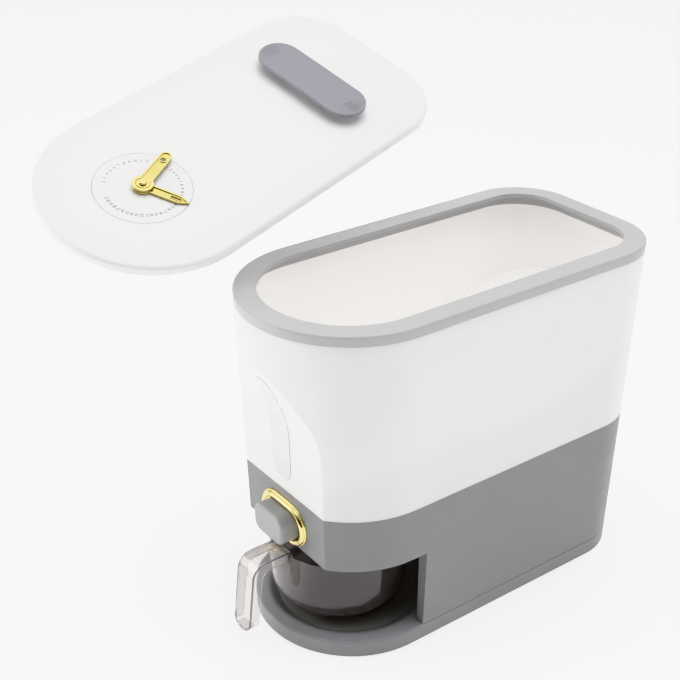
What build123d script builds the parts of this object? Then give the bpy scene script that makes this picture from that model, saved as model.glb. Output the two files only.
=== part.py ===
from build123d import *
from math import cos, radians, sin, sqrt, tan
import os

# A worktop rice dispenser: a tall bin on a housing, a push button that opens a shutter over
# a cup bay, a measuring cup that pulls out like a drawer, and a lid that is lifted off.
# Frame: X to the right, the front faces -Y, Z up, origin under the middle pad. Millimetres.

# The body's outline: a half round front, straight sides and rounded back corners.
# It widens from the base to the rim.
total_height = 321.0
base_half_width = 88.5
base_front = -179.5
base_back = 188.0
base_corner = 57.0
rim_half_width = 95.0
rim_front = -192.0
rim_back = 192.0
rim_corner = 56.0
wall = 3.0
piece_gap = 0.1

# Heights of the body's pieces
foot_height = 0.8
tray_top = 16.2
bay_height = 78.8
band_height = 51.7
rim_height = 8.7
bay_top = tray_top + bay_height
seam_height = bay_top + band_height
rim_bottom = total_height - rim_height

# The flat facet on the front: parallel to the nose, then leaning out to meet it
facet_depth = 20.8
facet_bend_rise = 73.3
facet_lean = 23.3
facet_round = 90.0
facet_spare = 4.0
facet_half_reach = 110.0
front_clear = -240.0
nose_lean = (rim_front - base_front) / total_height
lean = radians(facet_lean)
facet_bend = seam_height + facet_bend_rise
facet_top = facet_bend + facet_depth / (tan(lean) + nose_lean) + facet_spare

# Base tray and its cover
tray_plate = 4.5
tray_edge_round = 1.5
pan_wall = 3.0
overlap = 0.1
cover_thickness = 2.5
cover_gap = 0.3
pad_radius = 10.0
pad_thickness = 2.0
pad_gap = 0.1
pad_side_inset = 26.5
pad_front_inset = 67.5
pad_back_inset = 38.0
post_radius = 5.0
post_inset = 12.5
post_side_y = 60.0
post_back_x = 40.0
post_back_inset = 16.0
screw_radius = 1.5
screw_hole_radius = 1.55
screw_pass_radius = 1.9
screw_head_radius = 3.0
screw_head_height = 1.2
cover_screw_length = 8.0
screw_drive_width = 0.8
screw_drive_depth = 0.6
pad_x = base_half_width - pad_side_inset
pad_front_y = base_front + pad_front_inset
pad_back_y = base_back - pad_back_inset
pad_places = [(0, 0), (-pad_x, pad_front_y), (pad_x, pad_front_y), (-pad_x, pad_back_y)]
pad_places.append((pad_x, pad_back_y))
post_x = base_half_width - post_inset
post_places = [(x, y) for x in (-post_x, post_x) for y in (-post_side_y, post_side_y)]
post_places += [(x, base_back - post_back_inset) for x in (-post_back_x, post_back_x)]

# Cup bay: a round niche behind two jambs, above a shallow well
bay_centre_y = -94.0
well_radius = 74.0
well_floor_radius = 65.0
well_depth = 5.0
well_edge_round = 10.0
pedestal_radius = 34.0
jamb_y = -78.0
jamb_thickness = 2.5
niche_radius = 81.5
niche_wall = 2.5
ceiling_lip = 3.0
ceiling_thickness = 2.5
ceiling_bottom = bay_top + ceiling_lip
liner_top = ceiling_bottom + ceiling_thickness

# Outlet: a square chute with a curved shutter that swings on an axle across it
chute_y = -100.0
chute_half_x = 18.0
chute_half_y = 15.0
chute_wall = 2.0
funnel_rise = 11.5
funnel_thickness = 2.5
funnel_spare = 5.0
funnel_side_slope = 40.0
funnel_back_slope = 20.5
funnel_front_slope = 38.0
axle_radius = 2.0
axle_fit = 0.05
axle_overhang = 3.4
clip_radius = 4.0
clip_thickness = 1.0
clip_fit = 0.05
shutter_inner_radius = 25.3
shutter_thickness = 2.0
shutter_half_angle = 44.0
gate_gap = 0.7
arm_gap = 0.6
arm_thickness = 2.5
arm_half_width = 4.0
arm_boss_radius = 5.0
axle_height = liner_top + gate_gap + shutter_thickness + shutter_inner_radius
funnel_bottom = axle_height + funnel_rise
chute_drop = sqrt((shutter_inner_radius - gate_gap) ** 2 - (chute_half_y + chute_wall) ** 2)
arm_inner_x = chute_half_x + chute_wall + arm_gap
arm_outer_x = arm_inner_x + arm_thickness

# Button, its gold bezel and what carries its push to the shutter
button_rise = 22.0
button_width = 43.0
button_tall = 28.0
button_corner = 10.0
button_proud = 18.7
button_seat_gap = 0.6
button_wall = 2.0
button_edge_round = 3.0
button_gap = 0.5
button_flange_width = 48.0
button_flange_tall = 26.0
button_flange_thickness = 2.5
button_travel = 8.0
bezel_width = 65.0
bezel_tall = 42.0
bezel_corner = 20.5
bezel_flange = 2.0
bezel_edge_round = 0.8
bezel_bead_radius = 2.9
bezel_bead_inset = 4.2
bezel_opening_margin = 0.6
fork_thickness = 2.5
fork_lever = 13.0
fork_leg_shift = 0.35
fork_leg_width = 2.6
fork_leg_tall = 6.0
fork_end_gap = 0.9
fork_bore_radius = 9.5
guide_spare = 6.7
guide_plate = 3.0
guide_half_width = 31.0
guide_rise = 18.0
guide_foot_gap = 0.2
guide_foot_thickness = 2.0
guide_slot_margin = 1.0
guide_post_radius = 3.5
guide_post_length = 12.0
spring_radius = 6.0
spring_wire = 0.8
spring_turns = 8
guide_screw_x = 27.5
guide_screw_inset = 10.0
guide_screw_length = 4.0
button_height = bay_top + button_rise
fork_height = axle_height - fork_lever
fork_leg_x = (arm_inner_x + arm_outer_x) / 2 + fork_leg_shift
guide_top = button_height + guide_rise

# Window on the facet
window_rise = 11.3
window_length = 104.0
window_width = 26.0
window_back_y = -140.0
pane_thickness = 2.0
pane_proud = 0.4
pane_flange = 3.5
pane_gap = 0.15
window_low = seam_height + window_rise

# Rim ring
rim_width = 19.6
rim_plate = 3.6
rim_lip = 2.0
rim_lip_gap = 0.2
rim_lip_depth = 7.3
rim_edge_round = 1.4
rim_lip_low = rim_bottom - rim_lip_depth
funnel_top = rim_lip_low - funnel_spare

# Measuring cup
cup_y = -106.0
cup_rim_radius = 64.0
cup_base_radius = 60.5
cup_headroom = 10.0
cup_corner = 25.0
cup_wall = 2.2
cup_floor = 2.6
cup_rest_gap = 0.1
handle_width = 25.0
handle_wall = 2.4
handle_depth = 10.0
handle_lift = 3.0
handle_reach = 35.0
handle_bottom = 18.0
handle_spread = 7.0
handle_bend = 15.0
handle_inner_bend = 7.5
handle_end_round = 11.0
handle_edge_round = 1.0
handle_root_depth = 10.0
cup_top = bay_top - cup_headroom
handle_top = cup_top + handle_lift
handle_front = cup_y - cup_rim_radius - handle_reach
handle_root = cup_y - cup_rim_radius + handle_root_depth

# Lid, in its own frame: z is 0 under the seal, and the front faces -Y
seal_thickness = 2.6
lid_thickness = 8.4
lid_plate = 2.8
lid_edge_round = 3.6
seal_inset = 2.5
seal_width = 9.0
groove_inset = 13.0
plug_inset = 20.2
plug_wall = 2.4
plug_depth = 12.0
dial_y = -104.5
dial_radius = 41.0
dial_thickness = 1.6
dial_gap = 0.35
pin_radius = 2.0
pin_fit = 0.05
hand_eye_radius = 9.6
hand_thickness = 2.2
hand_gap = 0.4
date_hand_length = 41.0
date_hand_angle = 108.0
date_hand_half_root = 5.6
date_hand_half_tip = 5.2
date_hand_hole_radius = 2.4
date_hand_hole_place = 38.0
month_hand_length = 42.0
month_hand_angle = 21.0
month_hand_half = 4.4
month_hand_point = 9.0
month_hand_slot_length = 10.0
month_hand_slot_width = 2.2
month_hand_slot_place = 30.0
pin_head_radius = 4.0
pin_head_height = 1.0
pin_cap_radius = 3.4
pin_cap_height = 1.6
pin_cap_round = 1.3
pull_y = 100.5
pull_length = 118.0
pull_width = 42.0
pull_thickness = 3.5
pull_gap = 8.0
pull_edge_round = 1.2
stem_length = 30.0
stem_width = 16.0
stem_corner = 5.0
pull_screw_x = 9.0
pull_screw_bite = 2.2
lid_bottom = seal_thickness
lid_top = lid_bottom + lid_thickness

# Where the lid hangs when it has been lifted off: its place and its turns about X, Y and Z
lid_rise = 80.3
lid_place = (-153.25, -109.7, total_height + lid_rise)
lid_turns = (6.61, 22.74, 12.34)
lid_frame = Plane(Location(lid_place, lid_turns))


# The closed outline that the body and the lid share, as a face in the open sketch.
def outline_shape(half, front, back, corner, mode=Mode.ADD):
    with BuildLine() as outline:
        CenterArc((0, front + half), half, 180, 180)
        Line((half, front + half), (half, back - corner))
        CenterArc((half - corner, back - corner), corner, 0, 90)
        Line((half - corner, back), (corner - half, back))
        CenterArc((corner - half, back - corner), corner, 90, 90)
        Line((-half, back - corner), (-half, front + half))
    make_face(outline.edges(), mode=mode)


# The body's outline at a height, moved inward by inset.
def body_outline(height, inset=0.0):
    share = height / total_height
    half = base_half_width + share * (rim_half_width - base_half_width) - inset
    front = base_front + share * (rim_front - base_front) + inset
    back = base_back + share * (rim_back - base_back) - inset
    corner = base_corner + share * (rim_corner - base_corner) - inset
    with BuildSketch(Plane.XY.offset(height)) as section:
        outline_shape(half, front, back, corner)
    return section.sketch


# The body's tapered block between two heights, in the open part.
def body_block(low, high, inset=0.0, mode=Mode.ADD):
    loft([body_outline(low, inset), body_outline(high, inset)], ruled=True, mode=mode)


def facet_y(height):
    return base_front + facet_depth + nose_lean * height


# The facet's profile from a height up to its top, moved into the body by inset.
def facet_points(low, inset):
    rise = inset * (1 / cos(lean) - 1) / (tan(lean) + nose_lean)
    bend = facet_bend + rise
    bend_y = facet_y(bend) + inset
    end_y = bend_y - tan(lean) * (facet_top - bend)
    return (facet_y(low) + inset, low), (bend_y, bend), (end_y, facet_top)


# Everything in front of the facet moved into the body by inset, in the open part.
def facet_cut(low, inset=0.0, mode=Mode.SUBTRACT):
    start, bend, end = facet_points(low, inset)
    with BuildSketch(Plane.YZ.offset(-facet_half_reach)) as profile:
        with BuildLine():
            FilletPolyline(start, bend, end, radius=facet_round + inset)
            Polyline(end, (front_clear, facet_top), (front_clear, low), start)
        make_face()
    extrude(profile.sketch, amount=2 * facet_half_reach, mode=mode)


# The body's block with the facet cut into it, both moved inward by inset.
def body_solid(low, high, inset=0.0):
    with BuildPart() as solid:
        body_block(low, high, inset)
        facet_cut(low - overlap, inset)
    return solid.part


# A round disc at one place of a plane, or one at each of several, in the open part.
def disc(plane, places, radius, amount, mode=Mode.ADD):
    with BuildSketch(plane) as circles:
        with Locations(places):
            Circle(radius)
    extrude(circles.sketch, amount=amount, mode=mode)


# A pan head screw with a cross slot: its head's outer face is at the origin and faces -Z.
def screw(length):
    with BuildPart() as body:
        disc(Plane.XY, (0, 0), screw_head_radius, screw_head_height)
        disc(Plane.XY.offset(screw_head_height), (0, 0), screw_radius, length)
        with BuildSketch(Plane.XY):
            Rectangle(screw_head_radius, screw_drive_width)
            Rectangle(screw_drive_width, screw_head_radius)
        extrude(amount=screw_drive_depth, mode=Mode.SUBTRACT)
    return body.part


# Everything that stands in front of a line across the body, as a rectangle in the open sketch.
def front_area(line_y, mode=Mode.ADD):
    with Locations((0, line_y)):
        Rectangle(-front_clear, -front_clear, align=(Align.CENTER, Align.MAX), mode=mode)


# Whether an edge is the well's round edge on top of the tray.
def is_well_edge(edge):
    return abs(edge.radius - well_radius) < overlap and abs(edge.center().Z - tray_top) < overlap


# Base tray: the plinth, with the cup's well in its top and a pedestal that the cup stands on
well_floor = tray_top - well_depth
pan_bottom = well_floor - pan_wall
tray_ceiling = tray_top - tray_plate
cover_top = foot_height + cover_thickness
with BuildPart() as base_tray:
    body_block(foot_height, tray_top)
    fillet(base_tray.edges().group_by(Axis.Z)[-1], tray_edge_round)
    body_block(foot_height, tray_ceiling, wall, Mode.SUBTRACT)
    disc(
        Plane.XY.offset(pan_bottom),
        (0, bay_centre_y),
        well_floor_radius + pan_wall,
        tray_ceiling - pan_bottom + overlap,
    )
    disc(Plane.XY.offset(cover_top), post_places, post_radius, tray_ceiling - cover_top + overlap)
    with BuildSketch(Plane.XY.offset(tray_top)):
        with Locations((0, bay_centre_y)):
            Circle(well_radius)
    with BuildSketch(Plane.XY.offset(well_floor)):
        with Locations((0, bay_centre_y)):
            Circle(well_floor_radius)
    loft(mode=Mode.SUBTRACT)
    well_edge = base_tray.edges().filter_by(GeomType.CIRCLE).filter_by(is_well_edge)
    fillet(well_edge, well_edge_round)
    disc(Plane.XY.offset(well_floor - overlap), (0, cup_y), pedestal_radius, well_depth + overlap)
    disc(
        Plane.XY.offset(cover_top),
        post_places,
        screw_hole_radius,
        cover_screw_length,
        Mode.SUBTRACT,
    )

# Bottom cover: closes the tray from below
with BuildPart() as bottom_cover:
    body_block(foot_height, cover_top, wall + cover_gap)
    disc(
        Plane.XY.offset(foot_height),
        pad_places,
        pad_radius + pad_gap,
        pad_thickness - foot_height,
        Mode.SUBTRACT,
    )
    disc(
        Plane.XY.offset(foot_height),
        post_places,
        screw_pass_radius,
        cover_thickness,
        Mode.SUBTRACT,
    )
    disc(
        Plane.XY.offset(foot_height),
        post_places,
        screw_head_radius + pad_gap,
        screw_head_height,
        Mode.SUBTRACT,
    )

# Rubber pads: one under the middle and four near the corners
with BuildPart() as rubber_pads:
    disc(Plane.XY, pad_places, pad_radius, pad_thickness)

# Six screws that hold the cover
cover_screw = screw(cover_screw_length)
with BuildPart() as cover_screws:
    with Locations([(x, y, foot_height) for x, y in post_places]):
        add(cover_screw)

# Lower housing: the gray band round the outlet and the leg behind the bay
housing_block = body_solid(tray_top, seam_height)
housing_room = body_solid(tray_top, seam_height, wall)
with BuildPart() as lower_housing:
    add(housing_block)
    add(housing_room, mode=Mode.SUBTRACT)
    with BuildSketch(Plane.XY.offset(tray_top)):
        front_area(jamb_y)
    extrude(amount=bay_top - tray_top, mode=Mode.SUBTRACT)
    with BuildSketch(Plane.XZ.offset(-jamb_y)):
        with Locations((0, tray_top)):
            Rectangle(-front_clear, bay_top - tray_top, align=(Align.CENTER, Align.MIN))
    extrude(amount=-jamb_thickness)
    disc(
        Plane.XY.offset(tray_top),
        (0, bay_centre_y),
        niche_radius,
        bay_top - tray_top,
        Mode.SUBTRACT,
    )
    add(housing_block, mode=Mode.INTERSECT)
    with BuildSketch(Plane.XZ.offset(-facet_y(button_height) + wall)):
        with Locations((0, button_height)):
            RectangleRounded(
                button_width + 2 * button_gap,
                button_tall + 2 * button_gap,
                button_corner + button_gap,
            )
    extrude(amount=-3 * wall, mode=Mode.SUBTRACT)

# Bay liner: the niche wall round the cup and the ceiling above it, with the outlet's hole
jamb_back = jamb_y + jamb_thickness
ceiling_room = body_solid(ceiling_bottom, liner_top, wall + piece_gap)
button_face = facet_y(button_height)
button_back_y = button_face + wall + button_seat_gap + button_flange_thickness
guide_y = button_back_y + fork_thickness + button_travel + guide_spare
guide_screw_y = guide_y - guide_screw_inset
guide_screw_places = [(-guide_screw_x, guide_screw_y), (guide_screw_x, guide_screw_y)]
with BuildPart() as bay_liner:
    with BuildSketch(Plane.XY.offset(ceiling_bottom)):
        with Locations((0, bay_centre_y)):
            Circle(niche_radius + niche_wall)
        front_area(jamb_back)
    extrude(amount=ceiling_thickness)
    add(ceiling_room, mode=Mode.INTERSECT)
    with BuildSketch(Plane.XY.offset(tray_top)):
        with Locations((0, bay_centre_y)):
            Circle(niche_radius + niche_wall)
            Circle(niche_radius, mode=Mode.SUBTRACT)
        front_area(jamb_back + piece_gap, Mode.SUBTRACT)
    extrude(amount=ceiling_bottom - tray_top)
    with BuildSketch(Plane.XY.offset(ceiling_bottom)):
        with Locations((0, chute_y)):
            Rectangle(2 * chute_half_x, 2 * chute_half_y)
        with Locations(guide_screw_places):
            Circle(screw_hole_radius)
    extrude(amount=ceiling_thickness, mode=Mode.SUBTRACT)

# Hopper shell: the white bin above the seam, with a slot for the window
hopper_block = body_solid(seam_height, rim_bottom)
hopper_room = body_solid(seam_height, rim_bottom, wall)
slot_middle = window_low + window_length / 2
with BuildPart() as hopper_shell:
    add(hopper_block)
    add(hopper_room, mode=Mode.SUBTRACT)
    with BuildSketch(Plane.XZ.offset(-window_back_y)):
        with Locations((0, slot_middle)):
            SlotOverall(window_length, window_width, rotation=90)
    extrude(amount=window_back_y - front_clear, mode=Mode.SUBTRACT)


# A strip that follows the facet between two depths into the body.
def facet_strip(outer_inset, inner_inset, width, height):
    with BuildPart() as strip:
        facet_cut(seam_height, inner_inset, Mode.ADD)
        facet_cut(seam_height, outer_inset)
        with BuildSketch(Plane.XZ.offset(-front_clear)):
            with Locations((0, slot_middle)):
                SlotOverall(height, width, rotation=90)
        extrude(amount=front_clear, mode=Mode.INTERSECT)
    return strip.part


# Window pane: a clear strip in the slot, with a flange behind the wall
pane_face = facet_strip(
    -pane_proud, wall, window_width - 2 * pane_gap, window_length - 2 * pane_gap
)
pane_back = facet_strip(
    wall, wall + pane_thickness, window_width + 2 * pane_flange, window_length + 2 * pane_flange
)
with BuildPart() as window_pane:
    add(pane_face)
    add(pane_back)

# Rim ring: the gray frame on top of the bin, with a lip inside the bin's wall
ring_underside = total_height - rim_plate
lip_inset = wall + rim_lip_gap
with BuildPart() as rim_ring:
    body_block(rim_bottom, total_height)
    fillet(rim_ring.edges().group_by(Axis.Z)[-1], rim_edge_round)
    body_block(rim_bottom, ring_underside, wall, Mode.SUBTRACT)
    body_block(rim_lip_low, ring_underside, lip_inset)
    body_block(rim_lip_low, ring_underside, lip_inset + rim_lip, Mode.SUBTRACT)
    body_block(rim_lip_low, total_height, rim_width, Mode.SUBTRACT)


# The funnel's sloped sides as a widening block, made thicker all round by thickness.
def funnel_block(thickness):
    side = radians(funnel_side_slope)
    front = radians(funnel_front_slope)
    back = radians(funnel_back_slope)
    sections = []
    for height in (funnel_bottom, funnel_top):
        rise = height - funnel_bottom
        half = chute_half_x + rise / tan(side) + thickness / sin(side)
        front_y = chute_y - chute_half_y - rise / tan(front) - thickness / sin(front)
        back_y = chute_y + chute_half_y + rise / tan(back) + thickness / sin(back)
        with BuildSketch(Plane.XY.offset(height)) as section:
            with Locations((0, (front_y + back_y) / 2)):
                Rectangle(2 * half, back_y - front_y)
        sections.append(section.sketch)
    loft(sections, ruled=True)


# The chute below the funnel, made thicker all round by thickness.
def chute_block(thickness):
    with BuildSketch(Plane.XY.offset(chute_bottom)) as section:
        with Locations((0, chute_y)):
            Rectangle(2 * (chute_half_x + thickness), 2 * (chute_half_y + thickness))
    extrude(section.sketch, amount=funnel_bottom - chute_bottom)


# A round bar along X on the shutter's axis, from -reach to reach.
def axle_bar(radius, reach, mode=Mode.ADD):
    disc(Plane.YZ.offset(-reach), (chute_y, axle_height), radius, 2 * reach, mode)


# Hopper funnel: the sloped floor inside the bin, with the chute under it
chute_bottom = axle_height - chute_drop
axle_half_length = arm_outer_x + axle_overhang
pane_room = facet_strip(
    wall - piece_gap,
    wall + pane_thickness + piece_gap,
    window_width + 2 * (pane_flange + piece_gap),
    window_length + 2 * (pane_flange + piece_gap),
)
funnel_room = body_solid(tray_top, rim_bottom, wall + piece_gap / 2)
with BuildPart() as funnel_inside:
    funnel_block(0)
    chute_block(0)
with BuildPart() as hopper_funnel:
    funnel_block(funnel_thickness)
    add(funnel_room, mode=Mode.INTERSECT)
    chute_block(chute_wall)
    add(funnel_inside.part, mode=Mode.SUBTRACT)
    add(pane_room, mode=Mode.SUBTRACT)
    axle_bar(axle_radius + axle_fit, axle_half_length, Mode.SUBTRACT)

# Axle of the shutter, across the chute, and its two clips
clip_x = arm_outer_x + (arm_gap + clip_thickness) / 2
with BuildPart() as shutter_axle:
    axle_bar(axle_radius, axle_half_length)
with BuildPart() as axle_clips:
    for side in (-1, 1):
        with BuildSketch(Plane.YZ.offset(side * clip_x)):
            with Locations((chute_y, axle_height)):
                Circle(clip_radius)
                Circle(axle_radius + clip_fit, mode=Mode.SUBTRACT)
        extrude(amount=clip_thickness / 2, both=True)

# Shutter: a curved gate under the chute on two side arms
gate_reach = 2 * shutter_inner_radius
gate_y = gate_reach * sin(radians(shutter_half_angle))
gate_z = gate_reach * cos(radians(shutter_half_angle))
with BuildPart() as shutter:
    with BuildSketch(Plane.YZ.offset(-arm_outer_x)):
        with Locations((chute_y, axle_height)):
            Circle(shutter_inner_radius + shutter_thickness)
            Circle(shutter_inner_radius, mode=Mode.SUBTRACT)
        with BuildLine():
            Polyline(
                (chute_y, axle_height),
                (chute_y - gate_y, axle_height - gate_z),
                (chute_y + gate_y, axle_height - gate_z),
                close=True,
            )
        make_face(mode=Mode.INTERSECT)
    extrude(amount=2 * arm_outer_x)
    for side in (-1, 1):
        with BuildSketch(Plane.YZ.offset(side * (arm_inner_x + arm_outer_x) / 2)):
            with Locations((chute_y, axle_height)):
                Circle(arm_boss_radius)
                Rectangle(
                    2 * arm_half_width,
                    shutter_inner_radius + shutter_thickness / 2,
                    align=(Align.CENTER, Align.MAX),
                )
        extrude(amount=arm_thickness / 2, both=True)
    axle_bar(axle_radius + axle_fit, arm_outer_x, Mode.SUBTRACT)

# Button: a hollow rounded block with a flange that stops it behind the wall
button_front_y = button_face - button_proud
button_back = Plane.XZ.offset(-button_back_y)
with BuildPart() as button_cap:
    with BuildSketch(button_back):
        with Locations((0, button_height)):
            RectangleRounded(button_width, button_tall, button_corner)
    extrude(amount=button_back_y - button_front_y)
    fillet(button_cap.edges().group_by(Axis.Y)[0], button_edge_round)
    with BuildSketch(button_back):
        with Locations((0, button_height)):
            RectangleRounded(button_flange_width, button_flange_tall, button_corner)
    extrude(amount=button_flange_thickness)
    with BuildSketch(button_back):
        with Locations((0, button_height)):
            RectangleRounded(
                button_width - 2 * button_wall,
                button_tall - 2 * button_wall,
                button_corner - button_wall,
            )
    extrude(amount=button_back_y - button_front_y - button_wall, mode=Mode.SUBTRACT)

# Bezel: the gold ring on the facet round the button, a flange with a round bead on it
bezel_plane = Plane(
    origin=(0, button_face, button_height),
    x_dir=(1, 0, 0),
    z_dir=(0, -1, nose_lean),
)
bead_half_width = bezel_width / 2 - bezel_bead_inset
bead_half_tall = bezel_tall / 2 - bezel_bead_inset
with BuildPart() as button_bezel:
    with BuildSketch(bezel_plane):
        RectangleRounded(bezel_width, bezel_tall, bezel_corner)
    extrude(amount=bezel_flange)
    fillet(button_bezel.faces().sort_by(Axis.Y)[0].edges(), bezel_edge_round)
    with BuildLine(bezel_plane.offset(bezel_flange)) as bead_path:
        FilletPolyline(
            (-bead_half_width, -bead_half_tall),
            (bead_half_width, -bead_half_tall),
            (bead_half_width, bead_half_tall),
            (-bead_half_width, bead_half_tall),
            radius=bezel_corner - bezel_bead_inset,
            close=True,
        )
    with BuildSketch(Plane(origin=bead_path.line @ 0, z_dir=bead_path.line % 0)):
        Circle(bezel_bead_radius)
    sweep(path=bead_path.line)
    with BuildSketch(bezel_plane):
        Rectangle(2 * bezel_width, 2 * bezel_width)
    extrude(amount=-2 * bezel_bead_radius, mode=Mode.SUBTRACT)
    with BuildSketch(bezel_plane):
        RectangleRounded(
            button_width + 2 * bezel_opening_margin,
            button_tall + 2 * bezel_opening_margin,
            button_corner + bezel_opening_margin,
        )
    extrude(amount=bezel_flange + 2 * bezel_bead_radius, mode=Mode.SUBTRACT)

# Push fork: two legs on the button's flange that reach the shutter's arms
leg_end_y = chute_y - arm_half_width - fork_end_gap
with BuildPart() as push_fork:
    with BuildSketch(Plane.XZ.offset(-button_back_y - fork_thickness)):
        with Locations((0, button_height)):
            RectangleRounded(button_flange_width, button_flange_tall, button_corner)
            Circle(fork_bore_radius, mode=Mode.SUBTRACT)
    extrude(amount=fork_thickness)
    with BuildSketch(Plane.XZ.offset(-leg_end_y)):
        for side in (-1, 1):
            with Locations((side * fork_leg_x, fork_height)):
                Rectangle(fork_leg_width, fork_leg_tall)
    extrude(amount=leg_end_y - button_back_y)

# Guide bracket: stands on the bay's ceiling, holds the spring and steers the fork's legs
guide_foot_front = button_back_y + guide_foot_gap
with BuildPart() as guide_bracket:
    with BuildSketch(Plane.XY.offset(liner_top)):
        with Locations((0, guide_y)):
            Rectangle(
                2 * guide_half_width, guide_y - guide_foot_front, align=(Align.CENTER, Align.MAX)
            )
        with Locations(guide_screw_places):
            Circle(screw_pass_radius, mode=Mode.SUBTRACT)
    extrude(amount=guide_foot_thickness)
    with BuildSketch(Plane.XZ.offset(-guide_y - guide_plate)):
        with Locations((0, liner_top)):
            Rectangle(
                2 * guide_half_width, guide_top - liner_top, align=(Align.CENTER, Align.MIN)
            )
        for side in (-1, 1):
            with Locations((side * fork_leg_x, fork_height)):
                Rectangle(
                    fork_leg_width + 2 * guide_slot_margin,
                    fork_leg_tall + 2 * guide_slot_margin,
                    mode=Mode.SUBTRACT,
                )
    extrude(amount=guide_plate)
    disc(Plane.XZ.offset(-guide_y), (0, button_height), guide_post_radius, guide_post_length)

# Two screws that hold the bracket down
screw_top = liner_top + guide_foot_thickness + screw_head_height
hanging_screw = Rot(180, 0, 0) * screw(guide_screw_length)
with BuildPart() as guide_screws:
    with Locations([(x, y, screw_top) for x, y in guide_screw_places]):
        add(hanging_screw)

# Button spring, between the bracket and the inside of the button
spring_start = guide_y - spring_wire - piece_gap
spring_length = spring_start - (button_front_y + button_wall) - spring_wire - piece_gap
with BuildPart() as button_spring:
    with BuildLine() as coil:
        Helix(
            spring_length / spring_turns,
            spring_length,
            spring_radius,
            center=(0, spring_start, button_height),
            direction=(0, -1, 0),
        )
    with BuildSketch(Plane(origin=coil.line @ 0, z_dir=coil.line % 0)):
        Circle(spring_wire)
    sweep(path=coil.line, is_frenet=True)

# Handle of the cup: a channel that leaves the rim, turns down and ends in a rounded tongue
handle_foot = handle_front - handle_spread


# The channel's side view, moved inward by wall, reaching depth behind its outer face.
def handle_profile(inset, depth, bottom):
    outer_top = handle_top - inset
    inner_top = handle_top - depth
    with BuildLine() as outline:
        FilletPolyline(
            (handle_root, outer_top),
            (handle_front + inset, outer_top),
            (handle_foot + inset, bottom),
            radius=handle_bend - inset,
        )
        FilletPolyline(
            (handle_foot + depth, bottom),
            (handle_front + depth, inner_top),
            (handle_root, inner_top),
            radius=handle_inner_bend,
        )
        Line((handle_foot + inset, bottom), (handle_foot + depth, bottom))
        Line((handle_root, inner_top), (handle_root, outer_top))
    make_face(outline.edges())


handle_inside = handle_width - 2 * handle_wall
with BuildPart() as cup_handle:
    with BuildSketch(Plane.YZ):
        handle_profile(0, handle_depth, handle_bottom)
    extrude(amount=handle_width / 2, both=True)
    sides = cup_handle.faces().sort_by(Axis.X)
    fillet(sides[0].edges() + sides[-1].edges(), handle_edge_round)
    with BuildSketch(Plane.YZ):
        handle_profile(handle_wall, 2 * handle_depth, handle_bottom + handle_wall)
    extrude(amount=handle_inside / 2, both=True, mode=Mode.SUBTRACT)
    with BuildSketch(Plane.XZ):
        with Locations((0, handle_bottom)):
            RectangleRounded(
                handle_width,
                2 * handle_top,
                handle_end_round,
                align=(Align.CENTER, Align.MIN),
            )
    extrude(amount=-front_clear, mode=Mode.INTERSECT)

# Measuring cup: a round bowl that stands on the pedestal, with its handle in one piece
cup_bottom = tray_top + cup_rest_gap
cup_axis = Axis((0, cup_y, 0), (0, 0, 1))
cup_side = Plane(origin=(0, cup_y, 0), x_dir=(1, 0, 0), z_dir=(0, -1, 0))


# Half of the bowl's side view, moved inward.
def bowl_profile(inset, bottom):
    with BuildSketch(cup_side) as profile:
        with BuildLine():
            FilletPolyline(
                (0, bottom),
                (cup_base_radius - inset, bottom),
                (cup_rim_radius - inset, cup_top),
                radius=cup_corner - inset,
            )
            Polyline((cup_rim_radius - inset, cup_top), (0, cup_top), (0, bottom))
        make_face()
    return profile.sketch


with BuildPart() as measuring_cup:
    revolve(bowl_profile(0, cup_bottom), axis=cup_axis)
    add(cup_handle.part)
    revolve(bowl_profile(cup_wall, cup_bottom + cup_floor), axis=cup_axis, mode=Mode.SUBTRACT)
    disc(
        Plane.XY.offset(cup_top - overlap),
        (0, cup_y),
        cup_rim_radius - cup_wall,
        handle_top - cup_top + 2 * overlap,
        Mode.SUBTRACT,
    )


# The lid's outline at a height of its own frame, or a band of a given width inside it.
def lid_band(height, inset, width=None):
    numbers = (rim_half_width - inset, rim_front + inset, rim_back - inset, rim_corner - inset)
    with BuildSketch(lid_frame.offset(height)) as band:
        outline_shape(*numbers)
        if width:
            half, front, back, corner = numbers
            outline_shape(half - width, front + width, back - width, corner - width, Mode.SUBTRACT)
    return band.sketch


def lid_top_edges(piece):
    return piece.faces().sort_by(Axis(lid_place, lid_frame.z_dir))[-1].edges()


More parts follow.
